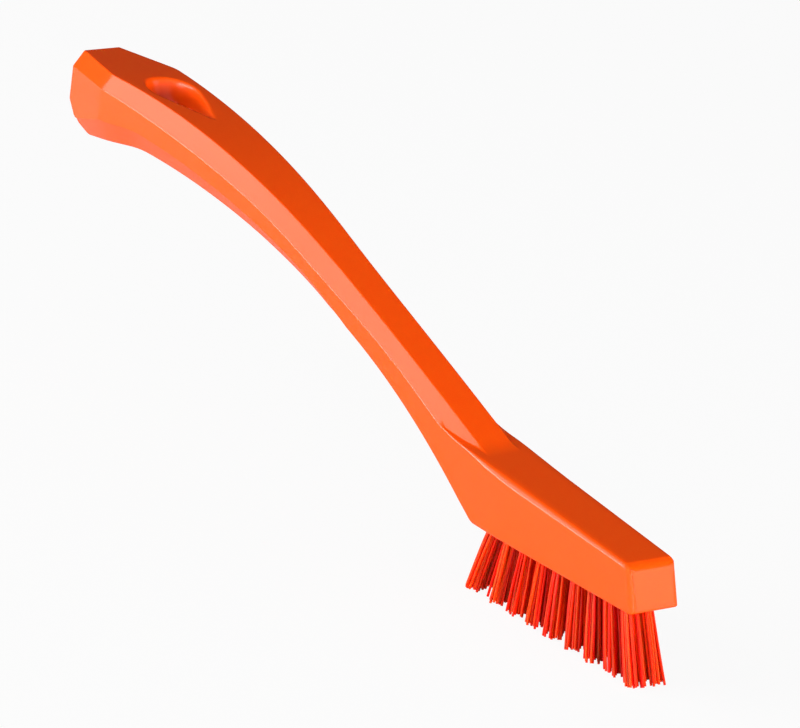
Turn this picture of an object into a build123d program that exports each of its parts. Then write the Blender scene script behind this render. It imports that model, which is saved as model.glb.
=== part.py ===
from build123d import *
import os
from math import asin, cos, degrees, radians, sin, sqrt, tan

# A one-piece hand brush for grout lines: an arched, faceted handle that runs into a narrow block
# with two rows of stiff tufts. X runs from the butt to the tip of the block, Z is up, the
# trimmed bristle tips lie in the plane Z = 0 and the origin is under the middle of the length.
# All sizes are in millimetres.

# Overall: from the butt to the tips of the foremost bristles
overall_length = 206.8
bristle_length = 15.5

# Brush block
block_length = 51.0
cheek_width = 14.8
cheek_setback = 8.0
tip_width = 12.5
front_height = 9.5
front_rake = 3.5
kink_setback = 2.1
kink_rise = 14.33
cheek_rise_start = 6.0
cheek_rise_length = 20.0
cheek_rise_radius = 60.0
block_edge_radius = 0.9
front_corner_radius = 1.5

# Top line of the handle, from the butt: level, then the arch, then the long flat curve of the
# neck, which meets the block at the kink
arch_start = 14.0
arch_radius = 217.0
neck_radius = 1600.0
neck_slope = 22.1

# Underside of the handle: one arc up from the heel, then the flared foot of the butt with a bevel
heel_angle = 34.0
foot_length = 28.2
flare_length = 20.7
flare_drop = 3.76
bevel_rise = 6.3

# Widths of the handle
butt_width = 21.8
butt_end_width = 14.3
shoulder_length = 17.0
waist_width = 12.6
butt_flat_width = 16.8
butt_end_flat_width = 9.0
waist_flat_width = 7.8
bottom_flat_width = 16.0

# Facets between the flats and the side walls
upper_facet_ratio = 1.26
lower_facet_ratio = 1.56
lower_facet_end = 45.0

# Hanging hole
hole_setback = 27.5
hole_diameter = 9.0
mouth_rear_reach = 6.7
mouth_length = 22.5
mouth_width = 10.8
mouth_depth = 5.0
mouth_lift = 1.0
rim_radius = 0.8

# Tufts
tufts_in_row = 9
row_offset = 2.0
row_splay = 1.5
heel_margin = 2.9
tip_margin = 6.1
rear_lean = 14.5
front_lean = 21.0
upright_share = 0.32
rear_fan_power = 1.6
front_fan_power = 1.2
tuft_hole_diameter = 3.2
tuft_hole_depth = 6.0
tuft_clearance = 0.05
tuft_recess = 0.5
strand_width = 0.42
strand_root_depth = 1.0
ring_counts = (1, 6, 12)
ring_radius_shares = (0.0, 0.38, 0.75)
tip_spread_share = 1.45

# Wire anchors
anchor_bite = 0.25
anchor_thickness = 0.3
anchor_height = 1.8
anchor_fold_depth = 0.9
anchor_clearance = 0.03

# Reach of the cutters past what they cut, and the play with which edges are picked
overrun = 6.0
pick_margin = 0.05

# Places along the brush. The foremost bristles reach a little ahead of the block
tuft_tip_radius = tuft_hole_diameter / 2 * ring_radius_shares[-1] * tip_spread_share + strand_width / 2
tip_reach = bristle_length * tan(radians(front_lean)) + tuft_tip_radius - tip_margin
tip_x = overall_length / 2 - tip_reach
butt_x = -overall_length / 2
heel_x = tip_x - block_length
kink_x = heel_x - kink_setback
shoulder_x = butt_x + shoulder_length
face_z = bristle_length
front_top = face_z + front_height

# Top line, worked back from the kink: the arch turns down until the neck's arc can carry on
arch_x = butt_x + arch_start
neck_run = neck_radius * sin(radians(neck_slope)) - (kink_x - arch_x)
arch_turn = degrees(asin(neck_run / (neck_radius - arch_radius)))
kink_z = face_z + kink_rise
neck_centre_x = kink_x - neck_radius * sin(radians(neck_slope))
neck_centre_z = kink_z - neck_radius * cos(radians(neck_slope))
arch_end_x = arch_x + arch_radius * sin(radians(arch_turn))
arch_centre_z = neck_centre_z + (neck_radius - arch_radius) * cos(radians(arch_turn))
butt_top = arch_centre_z + arch_radius

# Underside: an arc that leaves the heel at the heel angle and ends level where the foot starts
level_x = butt_x + foot_length
underside_radius = (heel_x - level_x) / sin(radians(heel_angle))
underside_centre_z = face_z - underside_radius * cos(radians(heel_angle))
level_z = underside_centre_z + underside_radius
flare_x = level_x - flare_length
flare_z = level_z - flare_drop


def top_height(x):
    """Height of the handle's top flat at a place along the brush."""
    if x <= arch_x:
        return butt_top
    if x <= arch_end_x:
        return arch_centre_z + sqrt(arch_radius**2 - (x - arch_x) ** 2)
    return neck_centre_z + sqrt(neck_radius**2 - (x - neck_centre_x) ** 2)


def under_height(x):
    """Height of the handle's bottom flat at a place along the brush."""
    if x <= level_x:
        return level_z - flare_drop * (level_x - x) / flare_length
    return underside_centre_z + sqrt(underside_radius**2 - (x - level_x) ** 2)


# Stations along the handle, as shares of the way from the shoulder to the heel, and there the
# shares of the widening from the waist to the butt
station_shares = (0.0, 0.12, 0.24, 0.36, 0.475, 0.59, 0.71, 0.82, 0.91, 1.0)
side_station_shares = (0.24, 0.475, 0.69, 0.83)
side_width_shares = (0.68, 0.27, 0.01, 0.01)
top_flat_shares = (1.0, 0.77, 0.58, 0.39, 0.2, 0.05, 0.0, 0.0, 0.0, 0.0)

# Lower facets fade out ahead of the waist: the bottom flat's width at its own stations, as
# shares of its full width
lower_station_shares = (0.0, 0.08, 0.16, 0.27, 0.48, 0.68, 0.86, 1.0)
bottom_flat_shares = (0.62, 0.8, 0.94, 0.93, 0.87, 0.79, 0.76, 0.83)


def along(start, end, share):
    """Value that lies a share of the way from start to end."""
    return start + (end - start) * share


def corner_section(x, half_flat, height, ratio, up):
    """Section of the wedge that a facet takes off, outside the line through the flat's edge."""
    with BuildSketch(Plane.YZ.offset(x)) as section:
        with BuildLine():
            Polyline(
                (half_flat - overrun / ratio, height + up * overrun),
                (half_flat + overrun / ratio, height - up * overrun),
                (half_flat + overrun / ratio, height + up * overrun),
                close=True,
            )
        make_face()
    return section.sketch


# Wedges for the long upper facets and for the upper facets of the butt end
upper_sections = []
for station, flat_share in zip(station_shares, top_flat_shares):
    x = along(shoulder_x, heel_x, station)
    half_flat = along(waist_flat_width, butt_flat_width, flat_share) / 2
    upper_sections.append(corner_section(x, half_flat, top_height(x), upper_facet_ratio, 1))
butt_end_section = corner_section(butt_x, butt_end_flat_width / 2, butt_top, upper_facet_ratio, 1)

# The block's top carries on behind the kink as a narrow cheek that curves up into the side's edge
block_slope = (kink_z - front_top) / (tip_x - front_rake - kink_x)
cheek_x = heel_x - cheek_rise_start
cheek_z = front_top + block_slope * (tip_x - front_rake - cheek_x)
rise_turn = -degrees(cheek_rise_length / cheek_rise_radius)

with BuildPart() as upper_cutter:
    loft(upper_sections)
    loft([butt_end_section, upper_sections[0]], ruled=True)
    with BuildSketch(Plane.XZ):
        with BuildLine():
            front = Line((tip_x, front_top - block_slope * front_rake), (cheek_x, cheek_z))
            rise = JernArc(front @ 1, front % 1, cheek_rise_radius, rise_turn)
            Polyline(rise @ 1, ((rise @ 1).X, face_z), (tip_x, face_z), front @ 0)
        make_face()
    extrude(amount=butt_width, both=True, mode=Mode.SUBTRACT)

# Wedge for the long lower facets
lower_sections = []
for station, flat_share in zip(lower_station_shares, bottom_flat_shares):
    x = along(butt_x, heel_x - lower_facet_end, station)
    half_flat = bottom_flat_width * flat_share / 2
    lower_sections.append(corner_section(x, half_flat, under_height(x), lower_facet_ratio, -1))

with BuildPart() as lower_cutter:
    loft(lower_sections)

# Hanging hole: a teardrop mouth in the top flat that funnels down to a round bore. Its outline
# is given as shares of the mouth's length, from the rear, and of its half width
mouth_outline_shares = ((1.0, 0.0), (0.85, 0.27), (0.6, 0.68), (0.3, 1.0), (0.07, 0.68), (0.0, 0.0))
hole_x = butt_x + hole_setback
mouth_rear_x = hole_x - mouth_rear_reach
mouth_front_x = mouth_rear_x + mouth_length
mouth_rise = top_height(mouth_rear_x) - top_height(mouth_front_x)
mouth_plane = Plane(
    origin=(mouth_rear_x, 0, top_height(mouth_rear_x) + mouth_lift),
    x_dir=(mouth_length, 0, -mouth_rise),
    z_dir=(mouth_rise, 0, mouth_length),
)
bore_radius = hole_diameter / 2
bore_top = butt_top - mouth_depth

with BuildPart() as hole_cutter:
    with BuildSketch(mouth_plane):
        with BuildLine():
            near_side = [(mouth_length * u, mouth_width / 2 * v) for u, v in mouth_outline_shares]
            far_side = [(x, -y) for x, y in near_side[-2:0:-1]]
            Spline(near_side + far_side, periodic=True)
        make_face()
    with BuildSketch(Plane.XY.offset(bore_top)):
        with Locations((hole_x, 0)):
            Circle(bore_radius)
    loft()
    with BuildSketch(Plane.XY.offset(bore_top)):
        with Locations((hole_x, 0)):
            Circle(bore_radius)
    extrude(amount=-(bore_top - face_z))


def is_front_corner(edge):
    """True for the two upright edges at the tip of the block."""
    upright = edge.bounding_box().size.Z > front_height / 2
    return upright and edge.center().X > tip_x - front_rake - pick_margin


def is_block_edge(edge):
    """True for the other outer edges of the brush block, which are rounded less."""
    centre = edge.center()
    upright = edge.bounding_box().size.Z > front_height / 2
    on_face = abs(centre.Z - face_z) < pick_margin
    on_end = centre.X > tip_x - front_rake - front_corner_radius and not upright
    on_side = centre.X > kink_x - cheek_rise_start and abs(centre.Y) > tip_width / 2 - pick_margin
    along_top = edge.bounding_box().size.X > block_edge_radius and centre.Z > face_z + front_height / 2
    return on_face or on_end or (on_side and along_top)


def is_rim_edge(edge):
    """True for the edges round the hole's mouth, which are rounded."""
    centre = edge.center()
    near_hole = mouth_rear_x < centre.X < mouth_front_x and abs(centre.Y) < mouth_width / 2
    return near_hole and centre.Z > bore_top + mouth_depth / 2


# Tufts: two rows side by side. They lean back at the heel and fan out forward to the tip, and
# each row splays a little to its own side. A tuft's plane lies at its hole's mouth, facing out
tuft_pitch = (block_length - heel_margin - tip_margin) / (tufts_in_row - 1)


def tuft_lean(share):
    """Angle by which the tuft at a share of its row, from the heel, leans towards the tip."""
    if share < upright_share:
        return -rear_lean * ((upright_share - share) / upright_share) ** rear_fan_power
    return front_lean * ((share - upright_share) / (1 - upright_share)) ** front_fan_power


near_planes = []
far_planes = []
for number in range(tufts_in_row):
    x = heel_x + heel_margin + number * tuft_pitch
    forward = tan(radians(tuft_lean(number / (tufts_in_row - 1))))
    for side, planes in ((-1, near_planes), (1, far_planes)):
        sideways = side * tan(radians(row_splay))
        mouth = (x, side * row_offset, face_z)
        planes.append(Plane(origin=mouth, x_dir=(1, 0, forward), z_dir=(forward, sideways, -1)))
tuft_planes = near_planes + far_planes

# Each tuft is folded over a flat wire anchor that bites into the wall of its hole
plug_depth = tuft_hole_depth - tuft_clearance
anchor_depth = plug_depth - anchor_fold_depth
anchor_width = tuft_hole_diameter + 2 * anchor_bite
anchor_slot = anchor_thickness + 2 * anchor_clearance
anchor_slot_height = anchor_height + 2 * anchor_clearance

with BuildPart() as handle_body:
    with BuildSketch(Plane.XZ):
        with BuildLine():
            butt_end = [(butt_x, butt_top), (butt_x, flare_z + bevel_rise)]
            Polyline((arch_x, butt_top), *butt_end, (flare_x, flare_z), (level_x, level_z))
            CenterArc((level_x, underside_centre_z), underside_radius, 90 - heel_angle, heel_angle)
            Polyline((heel_x, face_z), (tip_x, face_z), (tip_x - front_rake, front_top), (kink_x, kink_z))
            CenterArc((neck_centre_x, neck_centre_z), neck_radius, 90 - neck_slope, neck_slope - arch_turn)
            CenterArc((arch_x, arch_centre_z), arch_radius, 90 - arch_turn, arch_turn)
        make_face()
    extrude(amount=butt_width, both=True)
    with BuildSketch(Plane.XY):
        with BuildLine():
            Polyline((butt_x, 0), (butt_x, butt_end_width / 2), (shoulder_x, butt_width / 2))
            side_points = [(shoulder_x, butt_width / 2)]
            for station, width_share in zip(side_station_shares, side_width_shares):
                x = along(shoulder_x, heel_x, station)
                side_points.append((x, along(waist_width, butt_width, width_share) / 2))
            side_points.append((heel_x + cheek_setback, cheek_width / 2))
            Spline(side_points)
            Polyline((heel_x + cheek_setback, cheek_width / 2), (tip_x, tip_width / 2), (tip_x, 0))
            mirror(about=Plane.XZ)
        make_face()
    extrude(amount=butt_top, both=True, mode=Mode.INTERSECT)
    for cutter in (upper_cutter, lower_cutter):
        add(cutter.part, mode=Mode.SUBTRACT)
        add(mirror(cutter.part, about=Plane.XZ, mode=Mode.PRIVATE), mode=Mode.SUBTRACT)

    fillet(handle_body.edges().filter_by(is_front_corner), radius=front_corner_radius)
    fillet(handle_body.edges().filter_by(is_block_edge), radius=block_edge_radius)
    add(hole_cutter.part, mode=Mode.SUBTRACT)
    fillet(handle_body.edges().filter_by(is_rim_edge), radius=rim_radius)

    # Tuft holes, with a pocket in each wall for the ends of the anchor
    with BuildSketch(*[plane.offset(-tuft_hole_depth) for plane in tuft_planes]):
        Circle(tuft_hole_diameter / 2)
    extrude(amount=tuft_hole_depth + overrun, mode=Mode.SUBTRACT)
    with BuildSketch(*[plane.offset(-anchor_depth - anchor_clearance) for plane in tuft_planes]):
        Rectangle(anchor_width + 2 * anchor_clearance, anchor_slot)
    extrude(amount=anchor_slot_height, mode=Mode.SUBTRACT)

handle_body.part.label = "handle_body"
os.makedirs("parts", exist_ok=True)
export_step(handle_body.part, "parts/handle_body.step")

with BuildPart() as tuft_anchors:
    with BuildSketch(*[plane.offset(-anchor_depth) for plane in tuft_planes]):
        Rectangle(anchor_width, anchor_thickness)
    extrude(amount=anchor_height)
tuft_anchors.part.label = "tuft_anchors"
export_step(tuft_anchors.part, "parts/tuft_anchors.step")


def strand(plane, ring_radius, angle):
    """One straight strand of a tuft, from its root in the block down to its trimmed tip."""
    axis = plane.z_dir / -plane.z_dir.Z
    out = Vector(cos(radians(angle)), sin(radians(angle)), 0) * ring_radius
    root = plane.origin - axis * strand_root_depth + out
    tip = plane.origin + axis * bristle_length + out * tip_spread_share
    with BuildPart() as filament:
        for point in (root, tip):
            with BuildSketch(Plane.XY.offset(point.Z)):
                with Locations((point.X, point.Y)):
                    Rectangle(strand_width, strand_width, rotation=angle)
        loft(ruled=True)
    return filament.part


# A tuft is a plug, which fills its hole and is slotted for the anchor, with the strands fused to
# it. The far row is the mirror image of the near row
for number, plane in enumerate(near_planes, start=1):
    strands = []
    for ring_count, radius_share in zip(ring_counts, ring_radius_shares):
        for turn in range(ring_count):
            strands.append(strand(plane, tuft_hole_diameter / 2 * radius_share, 360 * turn / ring_count))

    with BuildPart() as near_tuft:
        with BuildSketch(plane.offset(-plug_depth)):
            Circle(tuft_hole_diameter / 2 - tuft_clearance)
        extrude(amount=plug_depth - tuft_recess)
        with BuildSketch(plane.offset(-anchor_depth - anchor_clearance)):
            Rectangle(anchor_width, anchor_slot)
        extrude(amount=anchor_slot_height, mode=Mode.SUBTRACT)
        add(strands)
    near_tuft.part.label = f"tuft_1_{number}"
    export_step(near_tuft.part, f"parts/tuft_1_{number}.step")

    with BuildPart() as far_tuft:
        add(mirror(near_tuft.part, about=Plane.XZ, mode=Mode.PRIVATE))
    far_tuft.part.label = f"tuft_2_{number}"
    export_step(far_tuft.part, f"parts/tuft_2_{number}.step")
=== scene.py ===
# %% [markdown]
# A small grout brush, dressed for its picture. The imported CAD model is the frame: it says how
# large every part is and where it sits. This lesson lays finer meshes over it, gives each part
# the surface of its real material, and then sets up a plain studio and a camera.

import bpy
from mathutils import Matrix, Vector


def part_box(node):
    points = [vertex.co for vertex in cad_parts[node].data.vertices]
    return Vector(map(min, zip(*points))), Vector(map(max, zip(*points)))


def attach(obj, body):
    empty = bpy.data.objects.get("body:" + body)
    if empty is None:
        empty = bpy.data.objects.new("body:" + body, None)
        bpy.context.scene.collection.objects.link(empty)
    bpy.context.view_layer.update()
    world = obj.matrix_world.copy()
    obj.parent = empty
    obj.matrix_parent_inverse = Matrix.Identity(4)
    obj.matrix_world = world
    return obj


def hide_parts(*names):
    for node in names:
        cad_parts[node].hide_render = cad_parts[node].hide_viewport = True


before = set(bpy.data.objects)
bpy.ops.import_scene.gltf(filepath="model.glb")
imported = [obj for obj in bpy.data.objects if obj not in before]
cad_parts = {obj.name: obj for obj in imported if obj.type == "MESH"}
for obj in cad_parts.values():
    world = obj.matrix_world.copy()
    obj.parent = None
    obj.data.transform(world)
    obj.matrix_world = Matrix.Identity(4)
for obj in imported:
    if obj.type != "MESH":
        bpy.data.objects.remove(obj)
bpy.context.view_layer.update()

# %% What else the lesson needs
from math import asin, atan, cos, pi, radians, sin, sqrt, tan

import bmesh
import bpy
from mathutils import Matrix, Vector

MM = 0.001

# %% [markdown]
# The handle is one moulding, and its outline follows a few rules. The top line is level at the
# butt, turns down in an arch and runs on in a very long curve to the block. The underside is one
# arc with a flared foot. These are the sizes of the CAD model, in millimetres, so that the finer
# mesh falls on the CAD solid.

# %% Sizes of the block
block_length = 51.0
cheek_width = 14.8
cheek_setback = 8.0
tip_width = 12.5
front_height = 9.5
front_rake = 3.5
kink_setback = 2.1
kink_rise = 14.33
cheek_rise_start = 6.0
cheek_rise_length = 20.0
cheek_rise_radius = 60.0
bristle_length = 15.5
print("block", block_length, "by", cheek_width, "mm, free bristle", bristle_length, "mm")

# %% Sizes of the handle
arch_start = 14.0
arch_radius = 217.0
neck_radius = 1600.0
neck_slope = radians(22.1)
heel_angle = radians(34.0)
foot_length = 28.2
flare_length = 20.7
flare_drop = 3.76
bevel_rise = 6.3
butt_width = 21.8
butt_end_width = 14.3
shoulder_length = 17.0
waist_width = 12.6
butt_flat_width = 16.8
butt_end_flat_width = 9.0
waist_flat_width = 7.8
bottom_flat_width = 16.0
upper_facet_ratio = 1.26
lower_facet_ratio = 1.56
lower_facet_end = 45.0
print("handle", butt_width, "mm wide at the butt and", waist_width, "mm at the waist")

# %% Places along the brush
# The butt is the rearmost place of the box, and the block's tip the foremost one of the handle.
butt_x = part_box("handle_body")[0][0] / MM
tip_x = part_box("handle_body")[1][0] / MM
heel_x = tip_x - block_length
kink_x = heel_x - kink_setback
shoulder_x = butt_x + shoulder_length
arch_x = butt_x + arch_start
level_x = butt_x + foot_length
flare_x = level_x - flare_length
face_z = bristle_length
front_top = face_z + front_height
kink_z = face_z + kink_rise
print("butt at", round(butt_x, 2), "heel at", round(heel_x, 2), "tip at", round(tip_x, 2))

# %% Centres of the arcs
neck_run = neck_radius * sin(neck_slope) - (kink_x - arch_x)
arch_turn = asin(neck_run / (neck_radius - arch_radius))
neck_centre_x = kink_x - neck_radius * sin(neck_slope)
neck_centre_z = kink_z - neck_radius * cos(neck_slope)
arch_end_x = arch_x + arch_radius * sin(arch_turn)
arch_centre_z = neck_centre_z + (neck_radius - arch_radius) * cos(arch_turn)
butt_top = arch_centre_z + arch_radius
underside_radius = (heel_x - level_x) / sin(heel_angle)
underside_centre_z = face_z - underside_radius * cos(heel_angle)
level_z = underside_centre_z + underside_radius
flare_z = level_z - flare_drop
block_slope = (kink_z - front_top) / (tip_x - front_rake - kink_x)
print("butt top", round(butt_top, 2), "foot", round(level_z, 2))

# %% [markdown]
# A moulding has no knife edges. Two helpers round the outline where two lines meet: they work
# like max and min, but pass the corner in a short curve. A third one is a step that starts and
# ends gently, a fourth gives the value part of the way between two others, and a fifth draws a
# smooth curve through a few points.

# %% Smooth helpers


def soft_max(a, b, width):
    """The larger of two values, with a short curve where they are within the width."""
    return max(a, b) + max(width - abs(a - b), 0.0) ** 2 / (4 * width)


def soft_min(a, b, width):
    """The smaller of two values, with a short curve where they are within the width."""
    return -soft_max(-a, -b, width)


def fade(share):
    """A step from 0 to 1 that starts and ends gently."""
    share = min(max(share, 0.0), 1.0)
    return share * share * (3 - 2 * share)


def along(start, end, share):
    """Value that lies a share of the way from start to end."""
    return start + (end - start) * share


def curve_through(points, x):
    """Height at x of a smooth curve through the points, which runs on straight past its ends."""
    last = len(points) - 1
    slopes = []
    for i in range(last + 1):
        low, high = points[max(i - 1, 0)], points[min(i + 1, last)]
        slopes.append((high[1] - low[1]) / (high[0] - low[0]))
    if x <= points[0][0]:
        return points[0][1] + slopes[0] * (x - points[0][0])
    if x >= points[last][0]:
        return points[last][1] + slopes[last] * (x - points[last][0])
    i = max(k for k in range(last) if points[k][0] <= x)
    step = points[i + 1][0] - points[i][0]
    t = (x - points[i][0]) / step
    start = points[i][1] * (1 + 2 * t) * (1 - t) ** 2 + slopes[i] * step * t * (1 - t) ** 2
    return start + points[i + 1][1] * t * t * (3 - 2 * t) - slopes[i + 1] * step * t * t * (1 - t)


# %% [markdown]
# With these, each line of the handle is a small function of the place along it. First the lines
# of the side view: the top, the underside, and the top of the block, which carries on behind the
# kink as a narrow cheek on each side and curves up into the side wall.

# %% Lines of the side view
line_rounding = 0.7


def block_top(x):
    """Top plane of the block."""
    return front_top + block_slope * (tip_x - front_rake - x)


def top_line(x):
    """Top line of the whole brush."""
    if x <= arch_x:
        handle = butt_top
    elif x <= arch_end_x:
        handle = arch_centre_z + sqrt(arch_radius**2 - (x - arch_x) ** 2)
    else:
        handle = neck_centre_z + sqrt(neck_radius**2 - (x - neck_centre_x) ** 2)
    return soft_max(handle, block_top(x), line_rounding)


def foot_line(x):
    """Line of the flared foot, run on to both sides."""
    return level_z + (x - level_x) * flare_drop / flare_length


def bottom_line(x):
    """Underside of the handle with its foot and bevel, and the face of the block."""
    span = max(x - level_x, 0.0)
    arc = underside_centre_z + sqrt(underside_radius**2 - span**2)
    bevel = flare_z + bevel_rise * (flare_x - x) / (flare_x - butt_x)
    handle = soft_max(soft_min(arc, foot_line(x), line_rounding), bevel, line_rounding)
    return soft_max(handle, face_z, line_rounding)


def cheek_line(x):
    """Height of the cheek's top, beside the end of the handle. Behind its rise there is none."""
    start_x = heel_x - cheek_rise_start
    if x >= start_x:
        return block_top(x)
    start_turn = sin(atan(block_slope))
    turn = start_turn + (start_x - x) / cheek_rise_radius
    if start_x - x > cheek_rise_length:
        return 0.0
    return block_top(start_x) + cheek_rise_radius * (sqrt(1 - start_turn**2) - sqrt(1 - turn**2))


for name, x in (("butt", butt_x), ("waist", 0.0), ("kink", kink_x), ("tip", tip_x)):
    print(name, "from", round(bottom_line(x), 2), "to", round(top_line(x), 2))

# %% [markdown]
# Then the lines of the plan view: the half width of the brush, and the half widths of the top
# and bottom flats, each a curve through a few stations. A station is a share of the way from the
# shoulder to the heel, and its width is a share of the widening from the waist to the butt.

# %% Lines of the plan view
side_shares = ((0.24, 0.68), (0.475, 0.27), (0.69, 0.01), (0.83, 0.01))
top_flat_shares = (
    (0, 1), (0.12, 0.77), (0.24, 0.58), (0.36, 0.39), (0.475, 0.2), (0.59, 0.05), (0.71, 0),
    (1, 0))
bottom_flat_shares = (
    (0, 0.62), (0.08, 0.8), (0.16, 0.94), (0.27, 0.93), (0.48, 0.87), (0.68, 0.79),
    (0.86, 0.76), (1, 0.83))

side_points = [(shoulder_x, butt_width / 2)]
for place, share in side_shares:
    x = along(shoulder_x, heel_x, place)
    side_points.append((x, along(waist_width, butt_width, share) / 2))
side_points.append((heel_x + cheek_setback, cheek_width / 2))
top_flat_points = []
for place, share in top_flat_shares:
    x = along(shoulder_x, heel_x, place)
    top_flat_points.append((x, along(waist_flat_width, butt_flat_width, share) / 2))
bottom_flat_points = []
for place, share in bottom_flat_shares:
    x = along(butt_x, heel_x - lower_facet_end, place)
    bottom_flat_points.append((x, bottom_flat_width * share / 2))


def half_width(x):
    """Half the width of the brush."""
    butt_side = along(butt_end_width, butt_width, (x - butt_x) / shoulder_length) / 2
    handle_side = curve_through(side_points, x)
    block_side = along(tip_width, cheek_width, (tip_x - x) / (block_length - cheek_setback)) / 2
    if x < 0:
        return soft_min(butt_side, handle_side, line_rounding / 2)
    return soft_min(handle_side, block_side, line_rounding / 2)


def half_top_flat(x):
    """Half the width of the top flat."""
    butt_flat = along(butt_end_flat_width, butt_flat_width, (x - butt_x) / shoulder_length) / 2
    return soft_min(butt_flat, curve_through(top_flat_points, x), line_rounding / 2)


for name, x in (("butt", butt_x), ("shoulder", shoulder_x), ("waist", 0.0), ("tip", tip_x)):
    widths = round(2 * half_width(x), 2), round(2 * half_top_flat(x), 2)
    print(name, "is", widths[0], "wide, and its top flat", widths[1])

# %% [markdown]
# Next comes one cross-section: five corners on each side, which are the edge of the top flat, the
# crease above the cheek, the top of the side wall, and both edges of the lower facet. Where a
# facet ends, its corner slides to the middle of a straight stretch and so disappears. So every
# section has the same corners, and neighbouring sections can be joined with plain quads.

# %% Corners of a section
facet_fade = 0.5
flat_gap = 0.6
hidden_edge_share = 0.7


def section_corners(x):
    """Corners of one side of a section as (y, z), from the top flat down to the bottom flat."""
    top, bottom, width = top_line(x), bottom_line(x), half_width(x)
    flat = half_top_flat(x)
    facet_end = top - (width - flat) * upper_facet_ratio
    cheek = min(max(cheek_line(x), facet_end), top)
    drop = (top - cheek) / upper_facet_ratio
    crease_y = flat + sqrt(drop**2 + flat_gap**2 * fade(1 - drop / flat_gap))
    shown = fade((width - crease_y) / facet_fade)
    middle = ((flat + width) / 2, (top + facet_end) / 2)
    crease = (along(middle[0], crease_y, shown), along(middle[1], cheek, shown))
    side_top = along(facet_end, cheek, shown)

    inner = curve_through(bottom_flat_points, x)
    if x <= level_x:
        inner += max(bottom - foot_line(x), 0.0) / lower_facet_ratio
    shown = fade((width - inner) / facet_fade)
    side_bottom = bottom + max(width - inner, 0.0) * lower_facet_ratio
    lower_edge = along(width * hidden_edge_share, inner, shown)
    return [(flat, top), crease, (width, side_top), (width, side_bottom), (lower_edge, bottom)]


print("section at the butt:", [tuple(round(v, 2) for v in c) for c in section_corners(shoulder_x)])

# %% [markdown]
# The corners are then rounded with a few points on a small curve. The edge above the side wall
# grows softer along the block and nearly flat, like a small chamfer. At both ends of the brush
# the sections draw in along a quarter circle, so each point can also be moved in by an inset.

# %% Rounded section
handle_edge_radius = 0.4
block_edge_radius = 0.9
front_edge_radius = 1.9
radius_run = 8
softening_margin = 6
chamfer_flatness = 0.75
chamfer_quickness = 4
least_reach = 0.02
most_reach_share = 0.45
corner_steps = 5


def turned(vector):
    """The vector turned by a quarter, which is the outward side of a line that runs down."""
    return Vector((-vector.y, vector.x)).normalized()


def corner_curve(start, corner, end, t):
    """Point at t on the curve from start to end that the corner pulls outwards."""
    return start * (1 - t) ** 2 + corner * 2 * t * (1 - t) + end * t * t


def rounded_side(x, inset):
    """Points down one side of a section, with rounded corners, moved in by the inset."""
    on_block = fade((x - kink_x + radius_run / 2) / radius_run)
    radius = along(handle_edge_radius, block_edge_radius, on_block)
    block_share = min(max((x - kink_x) / (block_length - softening_margin), 0.0), 1.0)
    flatness = chamfer_flatness * fade(block_share * chamfer_quickness)
    softened = (along(radius, front_edge_radius, block_share), flatness)
    shapes = ((radius, 0.0), (radius, 0.0), softened, (radius, 0.0), (radius, 0.0))
    corners = [Vector(corner) for corner in section_corners(x)]
    line = [Vector((0, top_line(x)))] + corners + [Vector((0, bottom_line(x)))]
    points = []
    for before, here, after, (size, flatness) in zip(line, line[1:], line[2:], shapes):
        arrive, leave = here - before, after - here
        wanted = size * tan(arrive.angle(leave, 0.0) / 2) + least_reach
        reach = min(wanted, most_reach_share * arrive.length, most_reach_share * leave.length)
        start, end = here - arrive.normalized() * reach, here + leave.normalized() * reach
        for step in range(corner_steps):
            t = step / (corner_steps - 1)
            point = corner_curve(start, here, end, t).lerp(start.lerp(end, t), flatness)
            normal = turned(arrive).lerp(turned(leave), t).normalized()
            points.append(point - normal * inset)
    return points


print(len(rounded_side(0.0, 0.0)), "points down one side")

# %% [markdown]
# A ring is the whole section as points in space. The flats get two more columns on each side.
# They move out beside the hanging hole, so its place is needed here already. Its mouth is a
# little longer than in the CAD model, to follow the photograph. Towards the tip the rings lean
# back with the raked front of the block.

# %% Rings
hole_setback = 27.5
mouth_rear_reach = 6.5
mouth_length = 23.4
hole_margin = 2.2
column_run = 8
column_share = 0.66
column_share_at_hole = 0.9
rake_margin = 3
lift_margin = 2

hole_x = butt_x + hole_setback
mouth_rear_x = hole_x - mouth_rear_reach
hole_from_x = mouth_rear_x - hole_margin
hole_to_x = mouth_rear_x + mouth_length + hole_margin


def flat_columns(x, edge):
    """Two places on a flat: half way out, and further out beside the hanging hole."""
    after_start = fade((x - hole_from_x + column_run) / column_run)
    before_end = fade((hole_to_x + column_run - x) / column_run)
    outer = edge * along(column_share, column_share_at_hole, after_start * before_end)
    return outer / 2, outer


def ring(x, inset):
    """A closed ring of points round the brush at a station, in metres."""
    side = rounded_side(x, inset)
    inner, outer = flat_columns(x, side[0].x)
    low_inner, low_outer = flat_columns(x, side[-1].x)
    top, bottom = top_line(x) - inset, bottom_line(x) + inset
    right = [(inner, top), (outer, top)] + [tuple(point) for point in side]
    right += [(low_outer, bottom), (low_inner, bottom)]
    loop = [(0, top)] + right + [(0, bottom)] + [(-y, z) for y, z in reversed(right)]
    lean = front_rake / front_height * fade((x - heel_x) / (block_length - rake_margin))
    points = []
    for y, z in loop:
        back = lean * (z - face_z)
        lift = block_slope * back * fade((z - face_z) / (front_height - lift_margin))
        points.append(Vector((x - back, y, z + (lift if x > heel_x else 0.0))) * MM)
    return points


print(len(ring(0.0, 0.0)), "points in a ring")

# %% [markdown]
# The stations lie close together where the outline turns: at the foot, at the kink and at the
# heel. Each stretch gives where it starts, in millimetres, and how many rings it gets up to the
# next. The quarter circles at the two ends give the end faces their rounded rims.

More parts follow.
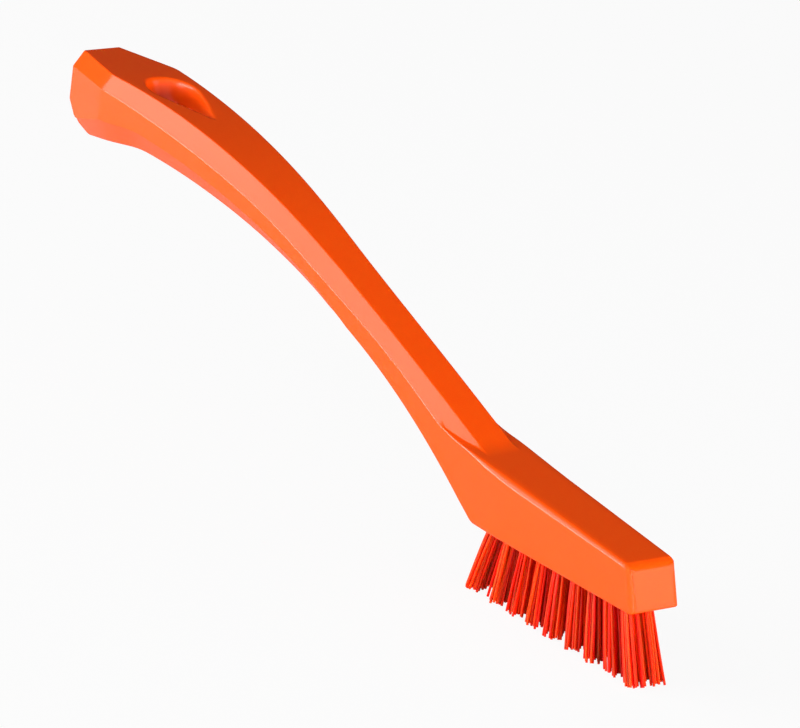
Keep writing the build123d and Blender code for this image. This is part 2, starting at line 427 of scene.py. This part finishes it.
# %% Stations
end_steps = 7
butt_rim = 0.6
tip_rim = 1.5
hole_segments = 16
stretches = (
    (butt_x + 1.2, 6), (flare_x - 1.6, 8), (flare_x + 1.6, 4), (shoulder_x - 1.2, 4),
    (hole_from_x, hole_segments), (hole_to_x, 34), (heel_x - 30, 28), (kink_x - 2.5, 24),
    (heel_x + 2.5, 10), (heel_x + 14, 12), (tip_x - tip_rim - 0.5, 0))

rows = []
for i in range(end_steps):
    angle = pi / 2 * (1 - i / (end_steps - 1))
    rows.append((butt_x + butt_rim * (1 - sin(angle)), butt_rim * (1 - cos(angle))))
for (start, count), (end, _) in zip(stretches, stretches[1:]):
    if start == hole_from_x:
        first_hole_row = len(rows)
    rows += [(along(start, end, i / count), 0.0) for i in range(count)]
for i in range(end_steps):
    angle = pi / 2 * i / (end_steps - 1)
    rows.append((tip_x - tip_rim * (1 - sin(angle)), tip_rim * (1 - cos(angle))))
print(len(rows), "rings along the brush")

# %% [markdown]
# The hanging hole is a teardrop mouth that narrows to a round bore. Its rim is a closed smooth
# curve through points at the CAD model's shares of the mouth's length and width. The points of
# the mesh are then spaced evenly along that curve.

# %% Outline of the mouth
mouth_width = 10.8
mouth_shares = ((1, 0), (0.85, 0.27), (0.6, 0.68), (0.3, 1), (0.07, 0.68), (0, 0))
curve_steps = 24
rim_points = 2 * hole_segments + 8


def closed_curve(points, steps):
    """Many points on a smooth closed curve through the given ones."""
    count = len(points)
    curve = []
    for i in range(count):
        a, b, c, d = (Vector(points[(i + k) % count]) for k in (-1, 0, 1, 2))
        for step in range(steps):
            t = step / steps
            pull = (c - a) * t * (1 - t) ** 2 / 2 - (d - b) * t * t * (1 - t) / 2
            curve.append(b * (1 + 2 * t) * (1 - t) ** 2 + c * t * t * (3 - 2 * t) + pull)
    return curve


def evenly(curve, count):
    """Points spaced evenly along a closed curve."""
    loop = curve + [curve[0]]
    lengths = [0.0]
    for a, b in zip(loop, loop[1:]):
        lengths.append(lengths[-1] + (b - a).length)
    spaced, k = [], 0
    for i in range(count):
        goal = lengths[-1] * i / count
        while lengths[k + 1] < goal:
            k += 1
        share = (goal - lengths[k]) / (lengths[k + 1] - lengths[k])
        spaced.append(loop[k].lerp(loop[k + 1], share))
    return spaced


right_side = [(mouth_rear_x + mouth_length * u, mouth_width / 2 * v) for u, v in mouth_shares]
left_side = [(x, -y) for x, y in right_side[-2:0:-1]]
mouth = evenly(closed_curve(right_side + left_side, curve_steps), rim_points)
mouth_reach = round(min(p.x for p in mouth), 1), round(max(p.x for p in mouth), 1)
print(len(mouth), "points round the mouth, from", mouth_reach[0], "to", mouth_reach[1])

# %% [markdown]
# Now the mesh itself. Rings are joined by quads, and the strip of the flats around the hole is
# left open. Loops of points then lead from that opening over the rounded rim, down the funnel,
# through the bore and out of the underside.

# %% Handle mesh
handle = bmesh.new()
rings = [[handle.verts.new(point) for point in ring(x, inset)] for x, inset in rows]
ring_size = len(rings[0])
half = ring_size // 2
last_hole_row = first_hole_row + hole_segments


def near_middle(k):
    """True for the four quads in the middle of the top flat and of the bottom flat."""
    return min(abs(k + 0.5 - start) for start in (0, half, ring_size)) < 2


for row in range(len(rings) - 1):
    for k in range(ring_size):
        if first_hole_row <= row < last_hole_row and near_middle(k):
            continue
        near, far, after = rings[row], rings[row + 1], (k + 1) % ring_size
        handle.faces.new((near[k], near[after], far[after], far[k]))
handle.faces.new(rings[0])
handle.faces.new(rings[-1])
print(len(handle.faces), "faces before the hole")

# %% Open edges in the flats


def opening(middle):
    """The open edge in a flat, from its front middle round by the +Y side."""
    sign = 1 if middle == 0 else -1
    wide = [(middle + sign * k) % ring_size for k in (0, 1, 2)]
    narrow = [(middle - sign * k) % ring_size for k in (1, 2)]
    loop = [rings[last_hole_row][k] for k in wide]
    loop += [rings[row][wide[2]] for row in range(last_hole_row - 1, first_hole_row, -1)]
    loop += [rings[first_hole_row][k] for k in reversed(wide)]
    loop += [rings[first_hole_row][k] for k in narrow]
    loop += [rings[row][narrow[1]] for row in range(first_hole_row + 1, last_hole_row)]
    loop += [rings[last_hole_row][k] for k in reversed(narrow)]
    return loop


print(len(opening(0)), "points round the opening in the top")

# %% [markdown]
# The funnel starts steep under the rim and flattens towards the bore, so its wall is hollow. Two
# close points on each side of the bore's lower edge keep that edge crisp under smooth shading.

# %% Rim, funnel and bore
hole_diameter = 9.0
mouth_depth = 5.0
rim_radius = 0.7
funnel_steps = 8
funnel_power = 1.9
bore_shares = (0.33, 0.66)
edge_gaps = (0.5, 0.15)
bore_radius = hole_diameter / 2
bore_top = butt_top - mouth_depth


def hole_column(i):
    """Points over the rim, down the funnel, through the bore and out below, in millimetres."""
    point = mouth[i]
    away = mouth[(i + 1) % rim_points] - mouth[i - 1]
    outward = Vector((away.y, -away.x, 0)).normalized()
    angle = 2 * pi * i / rim_points
    edge = Vector((point.x, point.y, top_line(point.x)))
    circle = Vector((hole_x + bore_radius * cos(angle), bore_radius * sin(angle), bore_top))
    slope = top_line(point.x + 0.5) - top_line(point.x - 0.5)
    side = Vector((outward.x, outward.y, outward.x * slope)).normalized()
    start = edge + side * rim_radius
    end = edge + (circle - edge).normalized() * rim_radius
    steps = [step / (corner_steps - 1) for step in range(corner_steps)]
    column = [corner_curve(start, edge, end, t) for t in steps]
    for step in range(1, funnel_steps + 1):
        t = step / funnel_steps
        steep = 1 - (1 - t) ** funnel_power
        column.append(Vector((*end.lerp(circle, t).xy, along(end.z, circle.z, steep))))
    low = bottom_line(circle.x)
    heights = [along(bore_top, low, share) for share in bore_shares]
    heights += [low + gap for gap in edge_gaps]
    column += [Vector((circle.x, circle.y, height)) for height in heights]
    for gap in reversed(edge_gaps):
        x = along(hole_x, circle.x, 1 + gap / bore_radius)
        column.append(Vector((x, circle.y * (1 + gap / bore_radius), bottom_line(x))))
    return column


loops = [opening(0)]
for points in zip(*[hole_column(i) for i in range(rim_points)]):
    loops.append([handle.verts.new(point * MM) for point in points])
loops.append(opening(half))
for outer, inner in zip(loops, loops[1:]):
    for i in range(rim_points):
        after = (i + 1) % rim_points
        handle.faces.new((outer[i], outer[after], inner[after], inner[i]))
print(len(loops), "loops through the hole")

# %% [markdown]
# The mesh is closed, so Blender can point all its faces outwards. One helper adds an object to
# the scene, and another turns its modifiers into a plain mesh.

# %% A finished piece from a mesh


def new_object(name, data):
    """A new object that shows a mesh, a lamp or a camera."""
    made = bpy.data.objects.new(name, data)
    bpy.context.scene.collection.objects.link(made)
    return made


def settle(made):
    """Turns an object's modifiers into a plain mesh."""
    bpy.context.view_layer.update()
    finished = made.evaluated_get(bpy.context.evaluated_depsgraph_get())
    result = bpy.data.meshes.new_from_object(finished)
    made.modifiers.clear()
    made.data = result


bmesh.ops.recalc_face_normals(handle, faces=handle.faces)
handle_mesh = bpy.data.meshes.new("handle_moulding")
handle.to_mesh(handle_mesh)
handle.free()
handle_moulding = new_object("handle_moulding", handle_mesh)
print(len(handle_mesh.polygons), "faces in the handle")

# %% [markdown]
# The tufts stand in two rows. At the heel they lean back, and towards the tip they fan out
# forward, so each tuft has its own axis, from the mouth of its hole down to the floor. The holes
# are cut in the block's face with a Boolean modifier: on a flat face that is quick and clean.

# %% Axes of the tufts
tufts_in_row = 9
row_offset = 2.0
row_splay = radians(1.5)
heel_margin = 2.9
tip_margin = 6.1
rear_lean = radians(14.5)
front_lean = radians(21.0)
upright_share = 0.32
rear_fan_power = 1.6
front_fan_power = 1.2
tuft_pitch = (block_length - heel_margin - tip_margin) / (tufts_in_row - 1)


def tuft_lean(share):
    """Angle by which the tuft at a share of its row, from the heel, leans towards the tip."""
    if share < upright_share:
        return -rear_lean * ((upright_share - share) / upright_share) ** rear_fan_power
    return front_lean * ((share - upright_share) / (1 - upright_share)) ** front_fan_power


tuft_axes = {}
for row, side in ((1, -1), (2, 1)):
    for number in range(tufts_in_row):
        lean = tuft_lean(number / (tufts_in_row - 1))
        x = heel_x + heel_margin + number * tuft_pitch
        mouth_point = Vector((x, side * row_offset, face_z))
        tip_point = mouth_point + bristle_length * Vector((tan(lean), side * tan(row_splay), -1))
        tuft_axes[f"tuft_{row}_{number + 1}"] = (mouth_point * MM, tip_point * MM)
print(len(tuft_axes), "tufts")

# %% Tuft holes
tuft_hole_radius = 1.6 * MM
tuft_hole_depth = 6.0 * MM
drill_sides = 32
drill = bmesh.new()
for mouth_point, tip_point in tuft_axes.values():
    axis = (tip_point - mouth_point).normalized()
    turn = axis.to_track_quat("Z", "Y").to_matrix().to_4x4()
    middle = Matrix.Translation(mouth_point - axis * tuft_hole_depth / 3)
    bmesh.ops.create_cone(
        drill, cap_ends=True, segments=drill_sides, depth=tuft_hole_depth * 4 / 3,
        radius1=tuft_hole_radius, radius2=tuft_hole_radius, matrix=middle @ turn)
drill_mesh = bpy.data.meshes.new("drill")
drill.to_mesh(drill_mesh)
drill.free()
drill_object = new_object("drill", drill_mesh)
cut = handle_moulding.modifiers.new("Tuft holes", "BOOLEAN")
cut.object = drill_object
cut.solver = "EXACT"
settle(handle_moulding)
bpy.data.objects.remove(drill_object)
print(len(handle_moulding.data.polygons), "faces with the tuft holes")

# %% Smooth shading of the moulding
sharp_angle = radians(50)


def shade(made):
    """Smooth shading with sharp edges where the surface breaks, and flats that stay flat."""
    for face in made.data.polygons:
        face.use_smooth = True
    made.data.set_sharp_from_angle(angle=sharp_angle)
    weighted = made.modifiers.new("Flats stay flat", "WEIGHTED_NORMAL")
    weighted.keep_sharp = True
    settle(made)


shade(handle_moulding)
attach(handle_moulding, "root")
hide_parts("handle_body")
print("the moulding replaces handle_body")

# %% [markdown]
# Materials come next, because the Geometry Nodes tree of the tufts sets one. Colours are written
# as sRGB hex values, the way a swatch gives them, and turned to linear light by one function. A
# second small function adds a node with its settings and its links.

# %% Helpers for materials


def colour(hex_value):
    """An sRGB hex colour as linear RGBA."""
    channels = [int(hex_value[i:i + 2], 16) / 255 for i in (0, 2, 4)]
    linear = [c / 12.92 if c <= 0.04045 else ((c + 0.055) / 1.055) ** 2.4 for c in channels]
    return (*linear, 1.0)


def add(tree, kind, inputs=None, **settings):
    """Adds a node. Inputs are values, or outputs of other nodes, which are linked."""
    made = tree.nodes.new(kind)
    for name, value in settings.items():
        setattr(made, name, value)
    for name, value in (inputs or {}).items():
        if isinstance(value, bpy.types.NodeSocket):
            tree.links.new(value, made.inputs[name])
        else:
            made.inputs[name].default_value = value
    return made


def new_material(name):
    """An empty node material with its surface shader, ready for inputs."""
    material = bpy.data.materials.new(name)
    material.use_nodes = True
    return material, material.node_tree, material.node_tree.nodes["Principled BSDF"]


# %% [markdown]
# The handle is moulded polypropylene, coloured through. The mould was finely polished, so the
# flats are satin and catch broad soft highlights, with a faint unevenness over a centimetre or
# so from the cooling of thick plastic. Light enters the surface a little, which keeps the shadows
# warm and red.

# %% Moulded polypropylene
moulding, tree, shader = new_material("moulded polypropylene, orange")
place = add(tree, "ShaderNodeTexCoord").outputs["Object"]
cloud_size = 0.012
clouds = add(tree, "ShaderNodeTexNoise", {"Vector": place, "Scale": 1 / cloud_size, "Detail": 0.0})
# The range stays under 0.27, past which the denoiser draws contour lines on the flats
shine = add(tree, "ShaderNodeMapRange",
            {"Value": clouds.outputs["Fac"], "To Min": 0.21, "To Max": 0.26})
tree.links.new(shine.outputs["Result"], shader.inputs["Roughness"])
# Polishing marks lie closer than a tenth of a millimetre. Those are too fine to show, so the
# grain is drawn coarser, and its two tints are near enough to read as one colour
grain_size = 0.00035
grain_height = 0.00002
grain = add(tree, "ShaderNodeTexNoise", {"Vector": place, "Scale": 1 / grain_size, "Detail": 2.0})
relief = add(tree, "ShaderNodeBump",
             {"Height": grain.outputs["Fac"], "Strength": 0.12, "Distance": grain_height})
tree.links.new(relief.outputs["Normal"], shader.inputs["Normal"])
tint = add(tree, "ShaderNodeMix", {"Factor": grain.outputs["Fac"]}, data_type="RGBA")
tint.inputs["A"].default_value = colour("F24B04")
tint.inputs["B"].default_value = colour("F65107")
tree.links.new(tint.outputs["Result"], shader.inputs["Base Color"])
shader.inputs["IOR"].default_value = 1.49
shader.inputs["Specular IOR Level"].default_value = 0.4
shader.inputs["Subsurface Weight"].default_value = 0.15
shader.inputs["Subsurface Radius"].default_value = (1.0, 0.25, 0.08)
shader.inputs["Subsurface Scale"].default_value = 0.0012
handle_moulding.data.materials.clear()
handle_moulding.data.materials.append(moulding)
print("made", moulding.name)

# %% [markdown]
# The bristles are extruded polyester filament of half a millimetre. A filament is smooth and
# slightly translucent, so light that falls into the tuft comes out deeper red than on the handle.
# Each filament takes its own shade between a red and an orange, from a random value that the
# tuft's tree stores on it.

# %% Extruded polyester filament
filament, tree, shader = new_material("extruded polyester filament, orange")
own = add(tree, "ShaderNodeAttribute", attribute_name="shade")
tint = add(tree, "ShaderNodeMix", {"Factor": own.outputs["Fac"]}, data_type="RGBA")
tint.inputs["A"].default_value = colour("EC0C01")
tint.inputs["B"].default_value = colour("FA4406")
tree.links.new(tint.outputs["Result"], shader.inputs["Base Color"])
shader.inputs["Roughness"].default_value = 0.4
shader.inputs["IOR"].default_value = 1.57
shader.inputs["Specular IOR Level"].default_value = 0.2
shader.inputs["Subsurface Weight"].default_value = 0.7
shader.inputs["Subsurface Radius"].default_value = (1.0, 0.12, 0.05)
shader.inputs["Subsurface Scale"].default_value = 0.002
print("made", filament.name)

# %% [markdown]
# The wire anchors that hold the tufts sit deep in the holes and don't show, but they keep a true
# finish: drawn steel wire has fine marks along its length. They keep their CAD shape, which is
# right as it is, and only get this material.

# %% Drawn steel wire
wire, tree, shader = new_material("drawn steel wire")
place = add(tree, "ShaderNodeTexCoord").outputs["Object"]
# Drawing marks are a few hundredths of a millimetre apart, and drawn a little coarser here
mark_size = 0.00008
mark_stretch = (0.05, 1.0, 1.0)
stretch = add(tree, "ShaderNodeMapping", {"Vector": place, "Scale": mark_stretch})
marks = add(tree, "ShaderNodeTexNoise",
            {"Vector": stretch.outputs["Vector"], "Scale": 1 / mark_size})
shine = add(tree, "ShaderNodeMapRange",
            {"Value": marks.outputs["Fac"], "To Min": 0.25, "To Max": 0.45})
tree.links.new(shine.outputs["Result"], shader.inputs["Roughness"])
shader.inputs["Base Color"].default_value = colour("B4B2AE")
shader.inputs["Metallic"].default_value = 1.0
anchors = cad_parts["tuft_anchors"]
anchors.data.materials.clear()
anchors.data.materials.append(wire)
print("made", wire.name)

# %% [markdown]
# A tuft is a bunch of some three dozen filaments, folded over its anchor, so it is tight at the
# hole and wider at the trimmed tips. One Geometry Nodes tree makes a tuft from named inputs. It
# lays out points on a spiral, as seeds sit in a sunflower, and puts a short curve on each point.
# Each point of a curve then moves to its place between the root and the tip, and a six-sided
# profile turns the curves into tubes. A little random bow, lean and trim keeps them lively.

# %% Inputs of the tuft tree
tuft_tree = bpy.data.node_groups.new("Tuft of filaments", "GeometryNodeTree")
tuft_sockets = (
    ("Mouth", "NodeSocketVector"), ("Tip", "NodeSocketVector"),
    ("Root Radius", "NodeSocketFloat"), ("Tip Radius", "NodeSocketFloat"),
    ("Filament Radius", "NodeSocketFloat"), ("Filaments", "NodeSocketInt"),
    ("Bow", "NodeSocketFloat"), ("Trim", "NodeSocketFloat"), ("Lean", "NodeSocketFloat"),
    ("Root Depth", "NodeSocketFloat"), ("Seed", "NodeSocketInt"))
socket_ids = {}
for name, kind in tuft_sockets:
    socket = tuft_tree.interface.new_socket(name, in_out="INPUT", socket_type=kind)
    socket_ids[name] = socket.identifier
tuft_tree.interface.new_socket("Geometry", in_out="OUTPUT", socket_type="NodeSocketGeometry")
group_in = add(tuft_tree, "NodeGroupInput").outputs
known = {name: group_in[name] for name, kind in tuft_sockets}
print(len(socket_ids), "inputs")

# %% [markdown]
# Most of the tree is arithmetic, and a list is easier to read than a web of nodes. Each line of
# such a list names a result, then the operation and the values that it takes, which are numbers,
# inputs of the tree, or results of earlier lines. One function turns a list into nodes.

# %% Lists of steps


def work_out(kind, steps):
    """Adds a node for each step and keeps its output under the step's name."""
    for name, operation, *values in steps:
        slots = (0, "Scale") if operation == "SCALE" else (0, 1)
        inputs = {slot: known.get(value, value) for slot, value in zip(slots, values)}
        made = add(tuft_tree, kind, inputs, operation=operation)
        known[name] = next(output for output in made.outputs if output.enabled)


spiral_play = 0.35
random_values = (
    ("turn play", -spiral_play, spiral_play), ("bend x", -1, 1), ("bend y", -1, 1),
    ("stray x", -1, 1), ("stray y", -1, 1), ("trim", 0, 1), ("shade", 0, 1))
for number, (name, low, high) in enumerate(random_values, 1):
    work_out("ShaderNodeMath", [("own seed", "ADD", "Seed", number)])
    made = add(tuft_tree, "FunctionNodeRandomValue",
               {"Min": low, "Max": high, "Seed": known["own seed"]}, data_type="FLOAT")
    known[name] = made.outputs["Value"]
print(len(random_values), "random values for each filament")

# %% Filaments laid out on a spiral
golden_angle = radians(137.508)
known["order"] = add(tuft_tree, "GeometryNodeInputIndex").outputs[0]
work_out("ShaderNodeMath", (
    ("middle", "ADD", "order", 0.5),
    ("filled", "DIVIDE", "middle", "Filaments"),
    ("share", "SQRT", "filled"),
    ("turned", "MULTIPLY", "order", golden_angle),
    ("around", "ADD", "turned", "turn play"),
    ("cosine", "COSINE", "around"),
    ("sine", "SINE", "around"),
    ("across x", "MULTIPLY", "share", "cosine"),
    ("across y", "MULTIPLY", "share", "sine")))
for name in ("across", "bend", "stray"):
    pair = {"X": known[name + " x"], "Y": known[name + " y"]}
    known[name] = add(tuft_tree, "ShaderNodeCombineXYZ", pair).outputs["Vector"]
stored_values = (
    ("across", "FLOAT_VECTOR"), ("bend", "FLOAT_VECTOR"), ("stray", "FLOAT_VECTOR"),
    ("trim", "FLOAT"), ("shade", "FLOAT"))
seeds = add(tuft_tree, "GeometryNodePoints", {"Count": known["Filaments"]}).outputs["Geometry"]
for name, data_type in stored_values:
    stored = add(tuft_tree, "GeometryNodeStoreNamedAttribute",
                 {"Geometry": seeds, "Name": name, "Value": known[name]}, data_type=data_type)
    seeds = stored.outputs["Geometry"]
print(len(tuft_tree.nodes), "nodes so far")

# %% Curves from root to tip
curve_points = 8
line = add(tuft_tree, "GeometryNodeCurvePrimitiveLine", {"End": (0, 0, 1)}).outputs["Curve"]
line = add(tuft_tree, "GeometryNodeResampleCurve", {"Curve": line, "Count": curve_points})
planted = add(tuft_tree, "GeometryNodeInstanceOnPoints",
              {"Points": seeds, "Instance": line.outputs["Curve"]})
curves = add(tuft_tree, "GeometryNodeRealizeInstances",
             {"Geometry": planted.outputs["Instances"]}).outputs["Geometry"]
# The shade isn't read back here: the filament's material reads it
for name, data_type in stored_values[:-1]:
    known[name] = add(tuft_tree, "GeometryNodeInputNamedAttribute", {"Name": name},
                      data_type=data_type).outputs["Attribute"]
position = add(tuft_tree, "GeometryNodeInputPosition").outputs[0]
known["run"] = add(tuft_tree, "ShaderNodeSeparateXYZ", {"Vector": position}).outputs["Z"]
print(len(tuft_tree.nodes), "nodes so far")

# %% [markdown]
# Run goes from 0 at the root to 1 at the tip. Reach turns it into a share of the free length, and
# is negative in the hole. Only the free part opens out, bows and strays. The longest filament
# stays just short of the tip plane, so that none dips into the floor.

# %% Places of the curves' points
longest = 0.99
stray_power = 1.5
work_out("ShaderNodeVectorMath", (
    ("axis", "SUBTRACT", "Tip", "Mouth"),
    ("free length", "LENGTH", "axis")))
work_out("ShaderNodeMath", (
    ("root share", "DIVIDE", "Root Depth", "free length"),
    ("cut off", "MULTIPLY", "trim", "Trim"),
    ("trimmed", "SUBTRACT", longest, "cut off"),
    ("whole", "ADD", "trimmed", "root share"),
    ("from root", "MULTIPLY", "run", "whole"),
    ("reach", "SUBTRACT", "from root", "root share"),
    ("free", "MAXIMUM", "reach", 0.0),
    ("spread", "SQRT", "free"),
    ("widening", "SUBTRACT", "Tip Radius", "Root Radius"),
    ("opened", "MULTIPLY", "spread", "widening"),
    ("radius", "ADD", "Root Radius", "opened"),
    ("half turn", "MULTIPLY", "free", pi),
    ("arch", "SINE", "half turn"),
    ("bowed", "MULTIPLY", "Bow", "arch"),
    ("late", "POWER", "free", stray_power),
    ("strayed", "MULTIPLY", "Lean", "late")))
work_out("ShaderNodeVectorMath", (
    ("down", "SCALE", "axis", "reach"),
    ("on axis", "ADD", "Mouth", "down"),
    ("aside", "SCALE", "across", "radius"),
    ("in bunch", "ADD", "on axis", "aside"),
    ("bowed aside", "SCALE", "bend", "bowed"),
    ("with bow", "ADD", "in bunch", "bowed aside"),
    ("strayed aside", "SCALE", "stray", "strayed"),
    ("target", "ADD", "with bow", "strayed aside")))
curves = add(tuft_tree, "GeometryNodeSetPosition",
             {"Geometry": curves, "Position": known["target"]}).outputs["Geometry"]
print(len(known), "named values")

# %% Tubes from the curves
filament_sides = 6
profile = add(tuft_tree, "GeometryNodeCurvePrimitiveCircle",
              {"Resolution": filament_sides, "Radius": known["Filament Radius"]}).outputs["Curve"]
tubes = add(tuft_tree, "GeometryNodeCurveToMesh",
            {"Curve": curves, "Profile Curve": profile, "Fill Caps": True}).outputs["Mesh"]
smooth = add(tuft_tree, "GeometryNodeSetShadeSmooth", {"Geometry": tubes}).outputs["Geometry"]
solid = add(tuft_tree, "GeometryNodeRealizeInstances", {"Geometry": smooth}).outputs["Geometry"]
coloured = add(tuft_tree, "GeometryNodeSetMaterial",
               {"Geometry": solid, "Material": filament}).outputs["Geometry"]
add(tuft_tree, "NodeGroupOutput", {"Geometry": coloured})
print(len(tuft_tree.nodes), "nodes in the tree")

# %% [markdown]
# The tree now runs once for each tuft, with that tuft's axis and seed, and each result becomes a
# plain mesh that stands for the tuft of the CAD model.

# %% Tufts
first_seed = 11
seed_step = 10
tuft_sizes = {
    "Root Radius": 1.33 * MM, "Tip Radius": 2.1 * MM, "Filament Radius": 0.27 * MM,
    "Filaments": 34, "Bow": 0.12 * MM, "Trim": 0.05, "Lean": 0.4 * MM, "Root Depth": 4.5 * MM}
for number, (name, (mouth_point, tip_point)) in enumerate(tuft_axes.items()):
    tuft = new_object(name + "_filaments", bpy.data.meshes.new(name + "_filaments"))
    grow = tuft.modifiers.new("Filaments", "NODES")
    grow.node_group = tuft_tree
    seed = first_seed + number * seed_step
    values = dict(tuft_sizes, Mouth=mouth_point, Tip=tip_point, Seed=seed)
    for socket_name, value in values.items():
        grow[socket_ids[socket_name]] = value
    settle(tuft)
    tuft.data.set_sharp_from_angle(angle=sharp_angle)
    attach(tuft, "root")
    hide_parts(name)
print(len(tuft.data.polygons), "faces in a tuft")

# %% [markdown]
# The studio is plain: a pale floor, a white surround and soft lamps. The brush is set level on
# its bristle tips, as in the CAD model, though let go it would tip back onto its butt. The camera
# sees the background as pure white through Light Path, so no light is spent on it, and the floor
# keeps the brush's shadow. A reflection shows a small share of that white only: the satin plastic
# would otherwise turn pinkish along its edges.

# %% White for the camera
mirrored_share = 0.02


def background_rays(tree):
    """How much of the white background a ray sees: all of it straight, a share mirrored."""
    path = add(tree, "ShaderNodeLightPath").outputs
    straight = add(tree, "ShaderNodeMath",
                   {0: path["Is Camera Ray"], 1: path["Is Transmission Ray"]}, operation="MAXIMUM")
    mirrored = add(tree, "ShaderNodeMath",
                   {0: path["Is Glossy Ray"], 1: mirrored_share}, operation="MULTIPLY")
    both = {0: straight.outputs[0], 1: mirrored.outputs[0]}
    return add(tree, "ShaderNodeMath", both, operation="MAXIMUM").outputs[0]


print("a reflection shows", mirrored_share, "of the white")

# %% Floor
floor_reach = 3.0
floor_glow_share = 0.93
floor_mesh = bpy.data.meshes.new("floor")
corners = [(x * floor_reach, y * floor_reach, 0) for x, y in ((-1, -1), (1, -1), (1, 1), (-1, 1))]
floor_mesh.from_pydata(corners, [], [(0, 1, 2, 3)])
floor = new_object("floor", floor_mesh)
paper, tree, shader = new_material("matt white paper")
shader.inputs["Base Color"].default_value = colour("D2D2D2")
shader.inputs["Roughness"].default_value = 0.9
seen = background_rays(tree)
glow = add(tree, "ShaderNodeEmission", {"Color": colour("FFFFFF"), "Strength": 1.0})
part_lit = add(tree, "ShaderNodeMath", {0: seen, 1: floor_glow_share}, operation="MULTIPLY")
both = add(tree, "ShaderNodeMixShader",
           {0: part_lit.outputs[0], 1: shader.outputs[0], 2: glow.outputs[0]})
tree.links.new(both.outputs[0], tree.nodes["Material Output"].inputs["Surface"])
floor_mesh.materials.append(paper)
print("the floor is", 2 * floor_reach, "m wide")

# %% [markdown]
# The surround gives the soft part of the light. It is brightest on the near side of the brush
# and nearly dark on the far side, so that the facets differ in tone.

# %% Surround
bright_side = (0.45, -0.85, -0.2)
dim_light = 0.02
bright_light = 0.75
world = bpy.data.worlds.new("studio")
bpy.context.scene.world = world
world.use_nodes = True
tree = world.node_tree
tree.nodes.clear()
seen = background_rays(tree)
direction = add(tree, "ShaderNodeTexCoord").outputs["Generated"]
facing = add(tree, "ShaderNodeVectorMath", {0: direction, 1: bright_side}, operation="DOT_PRODUCT")
level = add(tree, "ShaderNodeMapRange", {
    "Value": facing.outputs["Value"], "From Min": -0.4, "From Max": 0.8,
    "To Min": dim_light, "To Max": bright_light})
soft = add(tree, "ShaderNodeBackground",
           {"Color": colour("FFFFFF"), "Strength": level.outputs["Result"]})
white = add(tree, "ShaderNodeBackground", {"Color": colour("FFFFFF"), "Strength": 1.0})
both = add(tree, "ShaderNodeMixShader", {0: seen, 1: soft.outputs[0], 2: white.outputs[0]})
add(tree, "ShaderNodeOutputWorld", {"Surface": both.outputs[0]})
print("surround from", dim_light, "to", bright_light)

# %% [markdown]
# Four softboxes give each facet its tone. The strip shines on the upper facets, the side softbox
# on the side wall, and the end softbox puts a sheen on the end of the block. The front softbox
# lights the end faces and the tops. It is hidden from reflections, which is what a polarising
# filter does in a real studio, because its mirror image would whiten the hanging hole.

# %% Lamps
target_point = Vector((-0.0011, 0.0117, 0.0289))
lamp_distance = 0.9


def soft_lamp(name, direction, long_side, size, power):
    """A softbox that shines at the brush from a direction, with its long side along another."""
    data = bpy.data.lights.new(name, "AREA")
    data.shape = "RECTANGLE"
    data.size, data.size_y = size
    data.energy = power
    lamp = new_object(name, data)
    back = Vector(direction).normalized()
    up = back.cross(Vector(long_side)).normalized()
    turn = Matrix((up.cross(back), up, back)).transposed().to_4x4()
    lamp.matrix_world = Matrix.Translation(target_point + back * lamp_distance) @ turn
    return lamp


soft_lamp("facet strip", direction=(-0.55, -0.55, 0.6), long_side=(0.38, -0.23, 0.11),
          size=(0.75, 0.25), power=2.5)
soft_lamp("side softbox", direction=(-0.45, -0.88, 0.15), long_side=(1, 0, 0),
          size=(0.9, 0.3), power=11.5)
soft_lamp("end softbox", direction=(0.77, 0.6, 0.21), long_side=(-0.6, 0.77, 0),
          size=(0.5, 0.3), power=0.9)
front_softbox = soft_lamp("front softbox", direction=(0.98, 0.02, 0.08), long_side=(0, 1, 0),
                          size=(0.8, 0.18), power=11.5)
front_softbox.visible_glossy = False
print(len(bpy.data.lights), "lamps")

# %% [markdown]
# The camera stands where the photograph was taken from. Its place, lens and roll were worked out
# from where the corners of the brush lie in the photograph.

# %% Camera
camera_data = bpy.data.cameras.new("camera")
camera_data.sensor_width = 36.0
camera_data.lens = 248.33
camera = new_object("camera", camera_data)
camera_place = Vector((0.83804, -0.67937, 0.41625))
camera_roll = radians(7.589)
looking = (camera_place - target_point).to_track_quat("Z", "Y").to_matrix().to_4x4()
roll = Matrix.Rotation(camera_roll, 4, "Z")
camera.matrix_world = Matrix.Translation(camera_place) @ looking @ roll
bpy.context.scene.camera = camera
print("camera at", round((camera_place - target_point).length, 2), "m")

# %% [markdown]
# Last, the colour view is plain, so that colours render as they are written.

# %% Colour view
bpy.context.scene.view_settings.view_transform = "Standard"
